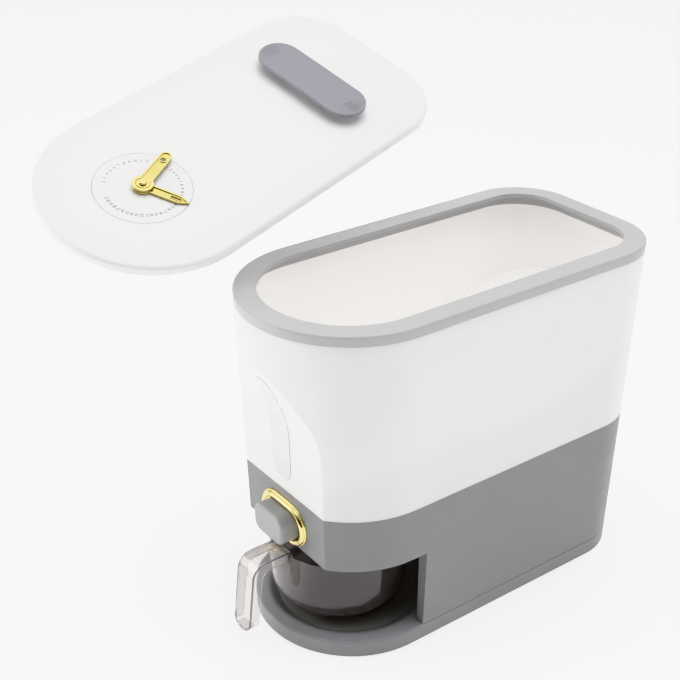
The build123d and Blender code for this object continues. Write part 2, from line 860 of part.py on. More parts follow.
# Lid panel: the cover with its plug and the stem of its pull
plate_underside = lid_top - lid_plate
pull_low = lid_top + pull_gap
pull_screw_places = [(-pull_screw_x, pull_y), (pull_screw_x, pull_y)]
with BuildPart() as lid_panel:
    extrude(lid_band(lid_bottom, 0), amount=lid_top - lid_bottom)
    fillet(lid_top_edges(lid_panel), lid_edge_round)
    hollow = lid_band(lid_bottom, plug_inset + plug_wall)
    groove = lid_band(lid_bottom, groove_inset, plug_inset - groove_inset)
    extrude(hollow, amount=plate_underside - lid_bottom, mode=Mode.SUBTRACT)
    extrude(groove, amount=plate_underside - lid_bottom, mode=Mode.SUBTRACT)
    extrude(lid_band(-plug_depth, plug_inset, plug_wall), amount=plug_depth + lid_bottom)
    disc(
        lid_frame.offset(lid_top - dial_thickness),
        (0, dial_y),
        dial_radius + dial_gap,
        dial_thickness,
        Mode.SUBTRACT,
    )
    disc(
        lid_frame.offset(plate_underside), (0, dial_y), pin_radius + pin_fit, lid_plate, Mode.SUBTRACT
    )
    with BuildSketch(lid_frame.offset(lid_top)):
        with Locations((0, pull_y)):
            RectangleRounded(stem_length, stem_width, stem_corner)
    extrude(amount=pull_gap)
    disc(
        lid_frame.offset(plate_underside),
        pull_screw_places,
        screw_pass_radius,
        lid_plate + pull_gap,
        Mode.SUBTRACT,
    )

# Lid seal: the soft ring under the lid's edge
with BuildPart() as lid_seal:
    extrude(lid_band(0, seal_inset, seal_width), amount=lid_bottom)

# Lid pull: the gray plate on the stem, and its two screws
with BuildPart() as lid_pull:
    with BuildSketch(lid_frame.offset(pull_low)):
        with Locations((0, pull_y)):
            SlotOverall(pull_length, pull_width)
    extrude(amount=pull_thickness)
    fillet(lid_top_edges(lid_pull), pull_edge_round)
    disc(
        lid_frame.offset(pull_low),
        pull_screw_places,
        screw_hole_radius,
        pull_screw_bite + piece_gap,
        Mode.SUBTRACT,
    )
screw_level = lid_frame.offset(plate_underside - screw_head_height)
pull_screw = screw(lid_plate + pull_gap + pull_screw_bite)
with BuildPart() as pull_screws:
    with Locations([screw_level.location * Pos(x, y, 0) for x, y in pull_screw_places]):
        add(pull_screw)

# Dial disc: lies flush in the lid
with BuildPart() as dial_disc:
    with BuildSketch(lid_frame.offset(lid_top - dial_thickness)):
        with Locations((0, dial_y)):
            Circle(dial_radius)
            Circle(pin_radius + pin_fit, mode=Mode.SUBTRACT)
    extrude(amount=dial_thickness)

# Dial pin: a rivet through the lid and the disc that the two hands turn on
month_level = lid_top + hand_gap
date_level = month_level + hand_thickness + hand_gap
cap_level = date_level + hand_thickness + hand_gap
with BuildPart() as dial_pin:
    disc(
        lid_frame.offset(plate_underside - pin_head_height),
        (0, dial_y),
        pin_head_radius,
        pin_head_height,
    )
    disc(lid_frame.offset(plate_underside), (0, dial_y), pin_radius, cap_level - plate_underside)
    disc(lid_frame.offset(cap_level), (0, dial_y), pin_cap_radius, pin_cap_height)
    fillet(lid_top_edges(dial_pin), pin_cap_round)


# A plane on a hand's underside: its origin on the pin, its x along the hand.
def hand_plane(level, angle):
    return Plane(lid_frame.offset(level).location * Pos(0, dial_y, 0) * Rot(0, 0, angle))


# Date hand: the upper one, with a round end and a round hole
with BuildPart() as date_hand:
    with BuildSketch(hand_plane(date_level, date_hand_angle)):
        Circle(hand_eye_radius)
        with BuildLine():
            Polyline(
                (0, date_hand_half_root),
                (date_hand_length, date_hand_half_tip),
                (date_hand_length, -date_hand_half_tip),
                (0, -date_hand_half_root),
                close=True,
            )
        make_face()
        with Locations((date_hand_length, 0)):
            Circle(date_hand_half_tip)
        with Locations((date_hand_hole_place, 0)):
            Circle(date_hand_hole_radius, mode=Mode.SUBTRACT)
        Circle(pin_radius + pin_fit, mode=Mode.SUBTRACT)
    extrude(amount=hand_thickness)

# Month hand: the lower one, with a pointed end and a slot
with BuildPart() as month_hand:
    with BuildSketch(hand_plane(month_level, month_hand_angle)):
        Circle(hand_eye_radius)
        with BuildLine():
            Polyline(
                (0, month_hand_half),
                (month_hand_length - month_hand_point, month_hand_half),
                (month_hand_length, 0),
                (month_hand_length - month_hand_point, -month_hand_half),
                (0, -month_hand_half),
                close=True,
            )
        make_face()
        with Locations((month_hand_slot_place, 0)):
            SlotOverall(month_hand_slot_length, month_hand_slot_width, mode=Mode.SUBTRACT)
        Circle(pin_radius + pin_fit, mode=Mode.SUBTRACT)
    extrude(amount=hand_thickness)

pieces = {
    "base_tray": base_tray,
    "bottom_cover": bottom_cover,
    "rubber_pads": rubber_pads,
    "cover_screws": cover_screws,
    "lower_housing": lower_housing,
    "bay_liner": bay_liner,
    "hopper_shell": hopper_shell,
    "window_pane": window_pane,
    "rim_ring": rim_ring,
    "hopper_funnel": hopper_funnel,
    "shutter_axle": shutter_axle,
    "axle_clips": axle_clips,
    "shutter": shutter,
    "button_cap": button_cap,
    "button_bezel": button_bezel,
    "push_fork": push_fork,
    "guide_bracket": guide_bracket,
    "guide_screws": guide_screws,
    "button_spring": button_spring,
    "measuring_cup": measuring_cup,
    "lid_panel": lid_panel,
    "lid_seal": lid_seal,
    "lid_pull": lid_pull,
    "pull_screws": pull_screws,
    "dial_disc": dial_disc,
    "dial_pin": dial_pin,
    "date_hand": date_hand,
    "month_hand": month_hand,
}

os.makedirs("parts", exist_ok=True)
for label, piece in pieces.items():
    piece.part.label = label
    export_step(piece.part, f"parts/{label}.step")
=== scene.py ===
import bpy
from math import acos, cos, pi, radians, sin, tau
from mathutils import Matrix, Vector


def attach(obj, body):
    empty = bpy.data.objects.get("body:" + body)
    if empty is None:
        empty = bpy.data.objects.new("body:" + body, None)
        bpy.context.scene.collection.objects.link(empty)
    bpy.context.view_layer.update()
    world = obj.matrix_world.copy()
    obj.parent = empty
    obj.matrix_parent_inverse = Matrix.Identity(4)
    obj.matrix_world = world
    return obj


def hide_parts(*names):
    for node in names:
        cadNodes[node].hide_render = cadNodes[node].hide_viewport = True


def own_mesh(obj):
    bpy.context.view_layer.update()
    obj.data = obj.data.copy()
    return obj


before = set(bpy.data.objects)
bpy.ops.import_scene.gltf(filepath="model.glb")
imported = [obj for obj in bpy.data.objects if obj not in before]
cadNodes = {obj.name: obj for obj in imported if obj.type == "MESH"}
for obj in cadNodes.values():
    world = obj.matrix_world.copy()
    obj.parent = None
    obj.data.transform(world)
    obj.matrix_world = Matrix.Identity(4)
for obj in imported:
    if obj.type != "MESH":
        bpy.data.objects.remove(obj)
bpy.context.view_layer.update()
mm = 0.001
print("frame loaded")

# the lid's own frame, 0 under its seal, front to -Y
lidSetup = {"place": (-153.25, -109.7, 401.3), "turns": (6.61, 22.74, 12.34)}
lidTurn = Matrix.Rotation(radians(lidSetup["turns"][0]), 4, "X")
lidTurn @= Matrix.Rotation(radians(lidSetup["turns"][1]), 4, "Y")
lidTurn @= Matrix.Rotation(radians(lidSetup["turns"][2]), 4, "Z")
lidFrame = Matrix.Translation(Vector(lidSetup["place"]) * mm) @ lidTurn


# how the noise behind every finish is scaled and spread
noiseSetup = {"low": 0.3, "high": 0.7, "cloudScale": 14, "sheenScale": 90, "sheenSpread": 0.05,
              "grainHeight": 0.03, "bevelSamples": 4}
clearSetup = {"hazeScale": 60, "hazeDim": 0.98, "roughSpread": 0.03, "ior": 1.49}


def newMaterial(name):
    mat = bpy.data.materials.new(name)
    mat.use_nodes = True
    return mat, mat.node_tree.nodes, mat.node_tree.links, mat.node_tree.nodes["Principled BSDF"]


def noiseAt(nodes, links, coords, scale, detail=2.0):
    noise = nodes.new("ShaderNodeTexNoise")
    noise.inputs["Scale"].default_value = scale
    noise.inputs["Detail"].default_value = detail
    links.new(coords.outputs["Object"], noise.inputs["Vector"])
    return noise.outputs["Fac"]


def spread(nodes, links, source, low, high):
    remap = nodes.new("ShaderNodeMapRange")
    remap.inputs["From Min"].default_value = noiseSetup["low"]
    remap.inputs["From Max"].default_value = noiseSetup["high"]
    remap.inputs["To Min"].default_value = low
    remap.inputs["To Max"].default_value = high
    links.new(source, remap.inputs["Value"])
    return remap.outputs["Result"]


def tinted(nodes, links, source, dark, light):
    ramp = nodes.new("ShaderNodeValToRGB")
    ramp.color_ramp.elements[0].position = noiseSetup["low"]
    ramp.color_ramp.elements[1].position = noiseSetup["high"]
    ramp.color_ramp.elements[0].color = (*dark, 1)
    ramp.color_ramp.elements[1].color = (*light, 1)
    links.new(source, ramp.inputs["Fac"])
    return ramp.outputs["Color"]


# moulded plastic: a soft cloudiness in the colour, an uneven sheen and a fine grain
def plastic(name, colour, roughness=0.4, grain=0.25, grainSize=0.35, cloud=0.02, edge=0.5, extra=None):
    mat, nodes, links, bsdf = newMaterial(name)
    coords = nodes.new("ShaderNodeTexCoord")
    clouds = noiseAt(nodes, links, coords, noiseSetup["cloudScale"], 3)
    dark = [c * (1 - cloud) for c in colour]
    light = [min(c * (1 + cloud), 1) for c in colour]
    links.new(tinted(nodes, links, clouds, dark, light), bsdf.inputs["Base Color"])
    sheen = noiseAt(nodes, links, coords, noiseSetup["sheenScale"], 4)
    uneven = noiseSetup["sheenSpread"]
    sheenRange = spread(nodes, links, sheen, roughness - uneven, roughness + uneven)
    links.new(sheenRange, bsdf.inputs["Roughness"])
    fine = noiseAt(nodes, links, coords, 1 / (grainSize * mm), 2)
    bump = nodes.new("ShaderNodeBump")
    bump.inputs["Strength"].default_value = grain
    bump.inputs["Distance"].default_value = noiseSetup["grainHeight"] * mm
    links.new(fine, bump.inputs["Height"])
    soft = nodes.new("ShaderNodeBevel")  # rounds the look of hard edges
    soft.samples = noiseSetup["bevelSamples"]
    soft.inputs["Radius"].default_value = edge * mm
    links.new(soft.outputs["Normal"], bump.inputs["Normal"])
    links.new(bump.outputs["Normal"], bsdf.inputs["Normal"])
    for key, value in (extra or {}).items():
        bsdf.inputs[key].default_value = value
    return mat


# the tray's plastic, with painted light and shade: its flat tops are painted a little lighter, and
# painted shade darkens it into the well under the cup
def trayPlastic(name, colour, well):
    mat = plastic(name, colour, 0.42)
    nodes, links = mat.node_tree.nodes, mat.node_tree.links
    coords = nodes.new("ShaderNodeTexCoord")
    flat = nodes.new("ShaderNodeVectorMath")
    flat.operation = "MULTIPLY"
    flat.inputs[1].default_value = (1, 1, 0)
    links.new(coords.outputs["Object"], flat.inputs[0])
    reach = nodes.new("ShaderNodeVectorMath")
    reach.operation = "DISTANCE"
    reach.inputs[1].default_value = (0, well["y"] * mm, 0)
    links.new(flat.outputs["Vector"], reach.inputs[0])
    # painted shade: towards the well under the cup the colour fades to a flat shade colour
    fade = nodes.new("ShaderNodeMapRange")
    fade.interpolation_type = "SMOOTHSTEP"
    fade.inputs["From Min"].default_value = well["shadeFullRadius"] * mm
    fade.inputs["From Max"].default_value = well["shadeEndRadius"] * mm
    links.new(reach.outputs["Value"], fade.inputs["Value"])
    mix = nodes.new("ShaderNodeMix")
    mix.data_type = "RGBA"
    mix.inputs["A"].default_value = (*well["colour"], 1)
    base = nodes["Principled BSDF"].inputs["Base Color"]
    # painted light: faces turned upwards take a lighter top colour
    facing = nodes.new("ShaderNodeSeparateXYZ")
    links.new(coords.outputs["Normal"], facing.inputs["Vector"])
    upward = nodes.new("ShaderNodeMapRange")
    upward.inputs["From Min"].default_value = well["paintedTopTilt"]
    links.new(facing.outputs["Z"], upward.inputs["Value"])
    paintedTopMix = nodes.new("ShaderNodeMix")
    paintedTopMix.data_type = "RGBA"
    paintedTopMix.inputs["B"].default_value = (*well["paintedTopLight"], 1)
    links.new(base.links[0].from_socket, paintedTopMix.inputs["A"])
    links.new(upward.outputs["Result"], paintedTopMix.inputs["Factor"])
    links.new(paintedTopMix.outputs["Result"], mix.inputs["B"])
    links.new(fade.outputs["Result"], mix.inputs["Factor"])
    links.new(mix.outputs["Result"], base)
    return mat


# bright plated metal, faintly uneven in its sheen
def metal(name, colour, roughness):
    return plastic(name, colour, roughness, grain=0.1, grainSize=0.8, cloud=0.04, edge=0.2,
                   extra={"Metallic": 1.0})


# clear plastic with a faint milkiness and a smoky tint that deepens with its thickness
def clearPlastic(name, tint, smoke, density, clearness, roughness=0.03):
    mat, nodes, links, bsdf = newMaterial(name)
    coords = nodes.new("ShaderNodeTexCoord")
    haze = noiseAt(nodes, links, coords, clearSetup["hazeScale"], 3)
    dim = [c * clearSetup["hazeDim"] for c in tint]
    links.new(tinted(nodes, links, haze, dim, tint), bsdf.inputs["Base Color"])
    rougher = roughness + clearSetup["roughSpread"]
    links.new(spread(nodes, links, haze, roughness, rougher), bsdf.inputs["Roughness"])
    bsdf.inputs["Transmission Weight"].default_value = clearness
    bsdf.inputs["IOR"].default_value = clearSetup["ior"]
    absorb = nodes.new("ShaderNodeVolumeAbsorption")
    absorb.inputs["Color"].default_value = (*smoke, 1)
    absorb.inputs["Density"].default_value = density
    links.new(absorb.outputs["Volume"], nodes["Material Output"].inputs["Volume"])
    return mat


# the cup's plastic: the handle is paler than the bowl
def cupPlastic(name, bowl, handle, smoke, density, clearness):
    mat = clearPlastic(name, bowl, smoke, density, clearness)
    nodes, links = mat.node_tree.nodes, mat.node_tree.links
    coords = nodes.new("ShaderNodeTexCoord")
    place = nodes.new("ShaderNodeSeparateXYZ")
    links.new(coords.outputs["Object"], place.inputs["Vector"])
    forward = nodes.new("ShaderNodeMapRange")
    forward.inputs["From Min"].default_value = handle["from"] * mm
    forward.inputs["From Max"].default_value = handle["to"] * mm
    links.new(place.outputs["Y"], forward.inputs["Value"])
    mix = nodes.new("ShaderNodeMix")
    mix.data_type = "RGBA"
    mix.inputs["B"].default_value = (*handle["colour"], 1)
    base = nodes["Principled BSDF"].inputs["Base Color"]
    links.new(base.links[0].from_socket, mix.inputs["A"])
    links.new(forward.outputs["Result"], mix.inputs["Factor"])
    links.new(mix.outputs["Result"], base)
    return mat


# the bin's shell: its inner walls glow faintly, in place of the light that comes through them
def shellPlastic(name, colour, extra, glow):
    mat = plastic(name, colour, roughness=0.36, grain=0.2, cloud=0.008, extra=extra)
    nodes, links = mat.node_tree.nodes, mat.node_tree.links
    coords = nodes.new("ShaderNodeTexCoord")
    place = nodes.new("ShaderNodeSeparateXYZ")
    links.new(coords.outputs["Object"], place.inputs["Vector"])
    along = nodes.new("ShaderNodeClamp")
    along.inputs["Min"].default_value = glow["front"] * mm
    along.inputs["Max"].default_value = glow["back"] * mm
    links.new(place.outputs["Y"], along.inputs["Value"])
    middle = nodes.new("ShaderNodeCombineXYZ")
    links.new(along.outputs["Result"], middle.inputs["Y"])
    links.new(place.outputs["Z"], middle.inputs["Z"])
    outward = nodes.new("ShaderNodeVectorMath")
    outward.operation = "SUBTRACT"
    links.new(coords.outputs["Object"], outward.inputs[0])
    links.new(middle.outputs["Vector"], outward.inputs[1])
    facing = nodes.new("ShaderNodeVectorMath")
    facing.operation = "DOT_PRODUCT"
    links.new(outward.outputs["Vector"], facing.inputs[0])
    links.new(coords.outputs["Normal"], facing.inputs[1])
    inner = nodes.new("ShaderNodeMapRange")
    inner.inputs["From Min"].default_value = 0.0
    inner.inputs["From Max"].default_value = -glow["reach"] * mm
    inner.inputs["To Max"].default_value = glow["strength"]
    links.new(facing.outputs["Value"], inner.inputs["Value"])
    links.new(inner.outputs["Result"], nodes["Principled BSDF"].inputs["Emission Strength"])
    nodes["Principled BSDF"].inputs["Emission Color"].default_value = (1, 0.98, 0.96, 1)
    return mat


# painted shade in the well under the cup, and painted light on the tray's flat tops
trayPaintedLight = {"y": -94.0, "shadeFullRadius": 69.0, "shadeEndRadius": 73.5, "colour": (0.32, 0.32, 0.31),
             "paintedTopLight": (0.39, 0.39, 0.41), "paintedTopTilt": 0.5}
cupHandle = {"from": -160.0, "to": -172.0, "colour": (0.80, 0.77, 0.765)}
innerGlow = {"front": -96.0, "back": 120.0, "reach": 20, "strength": 0.16}
# the liner's faint glow is painted light, lifting the shade in the cup's bay
linerGlow = {"Emission Color": (1, 1, 1, 1), "Emission Strength": 0.045}
glowThrough = {"Subsurface Weight": 0.35, "Subsurface Radius": (1, 1, 1), "Subsurface Scale": 6 * mm}
# the funnel's glow is painted light, standing in for light that comes through the bin's walls
glowInside = {**glowThrough, "Emission Color": (1, 0.98, 0.96, 1), "Emission Strength": 0.22}
looks = {
    "body": plastic("grayBody", (0.262, 0.265, 0.270), 0.42),
    "tray": trayPlastic("grayTrayPaintedLight", (0.275, 0.277, 0.285), trayPaintedLight),
    "rim": plastic("grayRim", (0.500, 0.502, 0.506), 0.42),
    "dark": plastic("grayLiner", (0.34, 0.34, 0.335), 0.5, extra=linerGlow),
    "white": shellPlastic("whiteShell", (0.830, 0.815, 0.805), glowThrough, innerGlow),
    "inside": plastic("whiteFunnel", (0.940, 0.930, 0.920), 0.45, grain=0.3, cloud=0.01,
                      extra=glowInside),
    "lid": plastic("whiteLid", (0.840, 0.836, 0.832), 0.34, grain=0.2, cloud=0.006, extra=glowThrough),
    "dial": plastic("whiteDial", (0.860, 0.850, 0.852), 0.3, grain=0.1, cloud=0.006),
    "seal": plastic("paleSeal", (0.80, 0.80, 0.79), 0.55, grain=0.3, grainSize=0.5),
    "button": plastic("grayButton", (0.37, 0.37, 0.375), 0.38),
    "pull": plastic("grayPull", (0.30, 0.298, 0.335), 0.36, grain=0.15),
    "figures": plastic("dialInk", (0.03, 0.03, 0.045), 0.6, grain=0.1, grainSize=0.2, cloud=0.1,
                       edge=0.02),
    "rubber": plastic("blackRubber", (0.02, 0.02, 0.02), 0.8, grain=0.6, grainSize=0.5, cloud=0.1),
    "works": plastic("grayWorks", (0.20, 0.20, 0.20), 0.5),
    "gold": metal("goldPlate", (0.88, 0.77, 0.36), 0.12),
    # a darker copy of the plate gold: painted shade for the hands and pin, which face the top light
    "goldHandShaded": metal("goldHandShaded", (0.62, 0.54, 0.22), 0.10),
    "goldSatin": metal("goldSatin", (0.48, 0.42, 0.16), 0.30),
    "steel": metal("steelPlate", (0.62, 0.62, 0.62), 0.3),
    "cup": cupPlastic("smokyCup", (0.54, 0.505, 0.50), cupHandle, smoke=(0.45, 0.42, 0.41),
                      density=25, clearness=0.90),
    "pane": clearPlastic("clearPane", (0.93, 0.93, 0.94), smoke=(0.8, 0.8, 0.82),
                         density=20, clearness=0.35, roughness=0.25),
}

# the finish that each CAD node shows
nodeLooks = {
    "base_tray": "tray", "bottom_cover": "works", "rubber_pads": "rubber", "cover_screws": "steel",
    "lower_housing": "body", "bay_liner": "dark", "hopper_shell": "white", "window_pane": "pane",
    "rim_ring": "rim", "hopper_funnel": "inside", "shutter_axle": "steel", "axle_clips": "steel",
    "shutter": "works", "button_cap": "button", "button_bezel": "gold", "push_fork": "works",
    "guide_bracket": "works", "guide_screws": "steel", "button_spring": "steel",
    "measuring_cup": "cup", "lid_panel": "lid", "lid_seal": "seal", "lid_pull": "pull",
    "pull_screws": "steel", "dial_disc": "dial", "dial_pin": "goldHandShaded", "date_hand": "goldHandShaded",
    "month_hand": "goldHandShaded",
}
for node, look in nodeLooks.items():
    obj = cadNodes[node]
    if not obj.material_slots:
        obj.data.materials.append(None)
    for matSlot in obj.material_slots:
        matSlot.link = "OBJECT"
        matSlot.material = looks[look]
print("materials set on", len(nodeLooks), "nodes")


def addPiece(name, mesh, body, look, angle=32, replaced=()):
    obj = bpy.data.objects.new(name, mesh)
    bpy.context.scene.collection.objects.link(obj)
    mesh.materials.clear()
    mesh.materials.append(looks[look])
    mesh.shade_smooth()
    mesh.set_sharp_from_angle(angle=radians(angle))
    if replaced:
        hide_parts(*replaced)
    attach(obj, body)
    return obj


# closed loops of points, each joined to the next, with the ends filled or joined to each other
def ringMesh(name, rings, closed=False):
    count = len(rings[0])
    verts = [p for ring in rings for p in ring]
    faces = []
    last = len(rings) if closed else len(rings) - 1
    for i in range(last):
        a, b = i * count, ((i + 1) % len(rings)) * count
        for k in range(count):
            n = (k + 1) % count
            faces.append((a + k, a + n, b + n, b + k))
    if not closed:
        faces.append(tuple(reversed(range(count))))
        faces.append(tuple(range(len(verts) - count, len(verts))))
    mesh = bpy.data.meshes.new(name)
    mesh.from_pydata(verts, [], faces)
    mesh.validate()
    return mesh


def roundedRect(width, tall, corner, height, steps=14):
    points = []
    for cx, cy, start in ((1, 1, 0), (-1, 1, 90), (-1, -1, 180), (1, -1, 270)):
        for k in range(steps + 1):
            a = radians(start + 90 * k / steps)
            x = cx * (width / 2 - corner) + corner * cos(a)
            y = cy * (tall / 2 - corner) + corner * sin(a)
            points.append((x * mm, y * mm, height * mm))
    return points


# a geometry node tree with named inputs, each of kind Float, Int or Material
def newTree(name, inputs, geometryIn=False):
    tree = bpy.data.node_groups.new(name, "GeometryNodeTree")
    tree.interface.new_socket(name="Mesh", in_out="OUTPUT", socket_type="NodeSocketGeometry")
    if geometryIn:
        tree.interface.new_socket(name="Geometry", in_out="INPUT", socket_type="NodeSocketGeometry")
    for label, kind in inputs:
        tree.interface.new_socket(name=label, in_out="INPUT", socket_type="NodeSocket" + kind)
    return tree, tree.nodes.new("NodeGroupInput"), tree.nodes.new("NodeGroupOutput")


def mathNode(tree, operation, *values):
    node = tree.nodes.new("ShaderNodeMath")
    node.operation = operation
    for k, value in enumerate(values):
        if isinstance(value, (int, float)):
            node.inputs[k].default_value = value
        else:
            tree.links.new(value, node.inputs[k])
    return node.outputs["Value"]


# runs a tree on a mesh with the given inputs and hands back the plain mesh
def bakeTree(tree, mesh, values):
    obj = bpy.data.objects.new(tree.name, mesh)
    bpy.context.scene.collection.objects.link(obj)
    mod = obj.modifiers.new(tree.name, "NODES")
    mod.node_group = tree
    for item in tree.interface.items_tree:
        if item.item_type == "SOCKET" and item.in_out == "INPUT" and item.name in values:
            mod[item.identifier] = values[item.name]
    evaluated = obj.evaluated_get(bpy.context.evaluated_depsgraph_get())
    baked = bpy.data.meshes.new_from_object(evaluated)
    obj.modifiers.remove(mod)
    bpy.data.objects.remove(obj)
    return baked


bezelSetup = {
    "size": (65.0, 42.0, 20.5),       # outer width, height, corner
    "opening": (44.2, 29.2, 10.6),
    "foot": 0.02, "flange": 2.0,
    "edgeSteps": ((0, 0.6), (0.25, 0.15), (0.6, 0), (1.2, 0), (1.6, 0.25)),  # inset, drop
    "beadInset": 3.7, "beadRadius": 2.6, "beadHeight": 3.1, "beadSink": 0.2,
    "beadSweep": 160, "beadSteps": 14,
    "slopeFoot": 1.2, "slopeRise": 0.3, "slopeSpread": (1.0, 0.3, 0.3),
    "place": (0, -163.256, 117.0), "lean": -12.5 / 321.0,
}


def buildBezel(s):
    width, tall, corner = s["size"]

    def ringAt(inset, height):
        return roundedRect(width - 2 * inset, tall - 2 * inset, corner - inset, height)

    rings = [ringAt(0, s["foot"])]
    rings += [ringAt(inset, s["flange"] - drop) for inset, drop in s["edgeSteps"]]
    for k in range(s["beadSteps"] + 1):
        a = radians(180 - s["beadSweep"] * k / s["beadSteps"])
        rings.append(ringAt(s["beadInset"] + s["beadRadius"] * cos(a),
                            s["flange"] - s["beadSink"] + s["beadHeight"] * sin(a)))
    wider = [size + extra for size, extra in zip(s["opening"], s["slopeSpread"])]
    rings.append(roundedRect(*wider, s["slopeFoot"] + s["slopeRise"]))
    rings.append(roundedRect(*s["opening"], s["slopeFoot"]))
    rings.append(roundedRect(*s["opening"], s["foot"]))
    mesh = ringMesh("bezelRing", rings, closed=True)
    out = Vector((0, -1, s["lean"])).normalized()
    side = Vector((1, 0, 0))
    turn = Matrix((side, out.cross(side), out)).transposed().to_4x4()
    mesh.transform(Matrix.Translation(Vector(s["place"]) * mm) @ turn)
    return addPiece("bezelRing", mesh, "dispenser", "gold", 50, ("button_bezel",))


buildBezel(bezelSetup)
print("bezel built")


springSetup = {
    "radius": 6.0, "wire": 0.8, "turns": 8, "stepsPerTurn": 24, "around": 10,
    "start": -140.862, "end": -179.05, "height": 117.0, "keep": 0.79,
}


# the button's spring, built as a fixed coil
def buildSpring(s):
    steps = s["turns"] * s["stepsPerTurn"]
    rise = (s["end"] - s["start"]) / (s["turns"] * tau)
    rings = []
    for k in range(steps + 1):
        t = k * tau / s["stepsPerTurn"]
        radial = Vector((cos(t), 0, sin(t)))
        middle = radial * s["radius"] + Vector((0, s["start"] + rise * t, s["height"]))
        ahead = Vector((-s["radius"] * sin(t), rise, s["radius"] * cos(t))).normalized()
        across = ahead.cross(radial)
        rings.append([(middle + (radial * cos(a) + across * sin(a)) * s["wire"]) * mm
                      for a in (tau * n / s["around"] for n in range(s["around"]))])
    coil = addPiece("springCoil", ringMesh("springCoil", rings), "dispenser", "steel", 60,
                    ("button_spring",))
    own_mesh(coil)
    return coil


buildSpring(springSetup)
print("spring built")


pullSetup = {
    "centre": (0, 100.5), "length": 118.0, "width": 42.0, "low": 19.0, "thick": 3.5, "edge": 1.2,
    "groovePitch": 1.9, "grooveDepth": 0.5, "grooveStart": 2.6, "grooveEnd": 15.0,
    "lowEdge": 0.5, "edgeSteps": 5, "arcSteps": 32, "ringsPerPitch": 6, "centreHole": 0.01,
    "topMargin": 0.01,
}


# sinks rings around both ends of a long plate's top, fading out towards its middle
def grooveTree():
    tree, given, out = newTree("pullGrooves", (
        ("Half", "Float"), ("Radius", "Float"), ("Pitch", "Float"), ("Depth", "Float"),
        ("Start", "Float"), ("End", "Float"), ("Top", "Float"), ("Material", "Material")), True)
    links = tree.links
    position = tree.nodes.new("GeometryNodeInputPosition")
    split = tree.nodes.new("ShaderNodeSeparateXYZ")
    links.new(position.outputs["Position"], split.inputs["Vector"])
    across = mathNode(tree, "ABSOLUTE", split.outputs["X"])
    x = mathNode(tree, "SUBTRACT", across, given.outputs["Half"])
    square = mathNode(tree, "ADD", mathNode(tree, "MULTIPLY", x, x),
                      mathNode(tree, "MULTIPLY", split.outputs["Y"], split.outputs["Y"]))
    reach = mathNode(tree, "SQRT", square)
    safeReach = mathNode(tree, "MAXIMUM", reach, 1e-6)
    fade = mathNode(tree, "MAXIMUM", mathNode(tree, "DIVIDE", x, safeReach), 0.0)
    inset = mathNode(tree, "SUBTRACT", given.outputs["Radius"], reach)
    turns = mathNode(tree, "DIVIDE", mathNode(tree, "SUBTRACT", inset, given.outputs["Start"]),
                     given.outputs["Pitch"])
    wave = mathNode(tree, "SUBTRACT", 0.5, mathNode(
        tree, "MULTIPLY", 0.5, mathNode(tree, "COSINE", mathNode(tree, "MULTIPLY", turns, tau))))
    within = mathNode(tree, "MULTIPLY", mathNode(tree, "GREATER_THAN", inset, given.outputs["Start"]),
                      mathNode(tree, "LESS_THAN", inset, given.outputs["End"]))
    onTop = mathNode(tree, "GREATER_THAN", split.outputs["Z"], given.outputs["Top"])
    amount = mathNode(tree, "MULTIPLY", mathNode(tree, "MULTIPLY", wave, fade),
                      mathNode(tree, "MULTIPLY", within, onTop))
    drop = tree.nodes.new("ShaderNodeCombineXYZ")
    depth = mathNode(tree, "MULTIPLY", amount, given.outputs["Depth"])
    links.new(mathNode(tree, "MULTIPLY", depth, -1.0), drop.inputs["Z"])
    move = tree.nodes.new("GeometryNodeSetPosition")
    links.new(given.outputs["Geometry"], move.inputs["Geometry"])
    links.new(drop.outputs["Vector"], move.inputs["Offset"])
    realize = tree.nodes.new("GeometryNodeRealizeInstances")
    paint = tree.nodes.new("GeometryNodeSetMaterial")
    links.new(move.outputs["Geometry"], realize.inputs["Geometry"])
    links.new(realize.outputs["Geometry"], paint.inputs["Geometry"])
    links.new(given.outputs["Material"], paint.inputs["Material"])
    links.new(paint.outputs["Geometry"], out.inputs["Mesh"])
    return tree


def buildPull(s):
    radius = s["width"] / 2
    half = s["length"] / 2 - radius
    steps = s["arcSteps"]

    def loop(r, height):
        points = []
        for sign, start in ((1, -90), (-1, 90)):
            for k in range(steps + 1):
                a = radians(start + 180 * k / steps)
                points.append(((sign * half + r * cos(a)) * mm, r * sin(a) * mm, height * mm))
        return points

    top = s["low"] + s["thick"]
    rings = [loop(s["centreHole"], s["low"]), loop(radius - s["lowEdge"], s["low"]),
             loop(radius, s["low"] + s["lowEdge"]), loop(radius, top - s["edge"])]
    for k in range(1, s["edgeSteps"] + 1):
        a = radians(90 * k / s["edgeSteps"])
        rings.append(loop(radius - s["edge"] * (1 - cos(a)), top - s["edge"] * (1 - sin(a))))
    inset = s["grooveStart"]
    while inset < s["grooveEnd"] + s["groovePitch"]:
        rings.append(loop(radius - inset, top))
        inset += s["groovePitch"] / s["ringsPerPitch"]
    rings.append(loop(s["centreHole"], top))
    plate = ringMesh("pullPlate", rings)
    values = {"Half": half * mm, "Radius": radius * mm, "Pitch": s["groovePitch"] * mm,
              "Depth": s["grooveDepth"] * mm, "Start": s["grooveStart"] * mm,
              "End": s["grooveEnd"] * mm, "Top": (top - s["topMargin"]) * mm,
              "Material": looks["pull"]}
    mesh = bakeTree(grooveTree(), plate, values)
    mesh.transform(lidFrame @ Matrix.Translation((s["centre"][0] * mm, s["centre"][1] * mm, 0)))
    return addPiece("pullPlate", mesh, "lid", "pull", 40, ("lid_pull",))


buildPull(pullSetup)
print("pull built")


